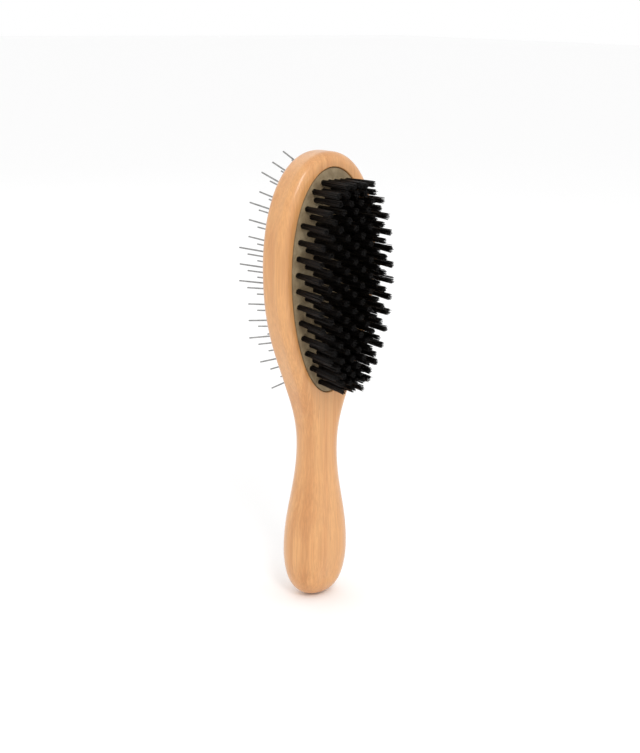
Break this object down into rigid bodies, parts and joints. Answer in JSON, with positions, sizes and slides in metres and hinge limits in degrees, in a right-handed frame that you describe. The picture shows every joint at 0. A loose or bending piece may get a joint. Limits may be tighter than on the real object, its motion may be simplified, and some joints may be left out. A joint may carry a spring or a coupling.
{
  "type": "double-sided grooming brush",
  "caption": "Two-sided pet grooming brush: wooden paddle with nylon tufts in a rubber cushion on one face and steel pins in a cushion on the other.",
  "frame": {"origin": "the tip of the handle's rounded end, on the handle's centre line", "axes": "+Z from the handle's end to the top of the head, -Y out of the bristle face, +Y out of the pin face, X across the width"},
  "size_m": [0.0622, 0.0598, 0.221],
  "materials": {
    "wood": "clear satin lacquer on pale beech",
    "rubber_bristle_side": "matt",
    "rubber_pin_side": "matt",
    "nylon": "black filament bundles",
    "steel": "drawn wire"
  },
  "bodies": {
    "handle": {"wood_body": "wood", "bristle_cushion": "rubber_bristle_side", "pin_cushion": "rubber_pin_side"},
    "tuft_field": {"bristle_row_01": "nylon", "bristle_row_02": "nylon", "bristle_row_03": "nylon", "bristle_row_04": "nylon", "bristle_row_05": "nylon", "bristle_row_06": "nylon", "bristle_row_07": "nylon", "bristle_row_08": "nylon", "bristle_row_09": "nylon", "bristle_row_10": "nylon", "bristle_row_11": "nylon", "bristle_row_12": "nylon", "bristle_row_13": "nylon", "bristle_row_14": "nylon", "bristle_row_15": "nylon", "bristle_row_16": "nylon", "bristle_row_17": "nylon", "bristle_row_18": "nylon", "bristle_row_19": "nylon", "bristle_row_20": "nylon", "bristle_row_21": "nylon", "bristle_row_22": "nylon", "bristle_row_23": "nylon", "bristle_row_24": "nylon", "bristle_row_25": "nylon", "bristle_row_26": "nylon"},
    "pin_field": {"pin_row_01": "steel", "pin_row_02": "steel", "pin_row_03": "steel", "pin_row_04": "steel", "pin_row_05": "steel", "pin_row_06": "steel", "pin_row_07": "steel", "pin_row_08": "steel", "pin_row_09": "steel", "pin_row_10": "steel", "pin_row_11": "steel", "pin_row_12": "steel", "pin_row_13": "steel", "pin_row_14": "steel", "pin_row_15": "steel", "pin_row_16": "steel", "pin_row_17": "steel", "pin_row_18": "steel", "pin_row_19": "steel", "pin_row_20": "steel", "pin_row_21": "steel", "pin_row_22": "steel", "pin_row_23": "steel", "pin_row_24": "steel", "pin_row_25": "steel", "pin_row_26": "steel", "pin_row_27": "steel", "pin_row_28": "steel"}
  },
  "joints": [
    {"name": "tuft_press", "type": "slide", "parent": "handle", "child": "tuft_field", "axis": [0, 1, 0], "range_m": [0, 0.0025], "stiffness_N_per_m": 1200, "deforming": ["bristle_cushion"]},
    {"name": "pin_press", "type": "slide", "parent": "handle", "child": "pin_field", "axis": [0, -1, 0], "range_m": [0, 0.0025], "stiffness_N_per_m": 1200, "deforming": ["pin_cushion"]}
  ]
}
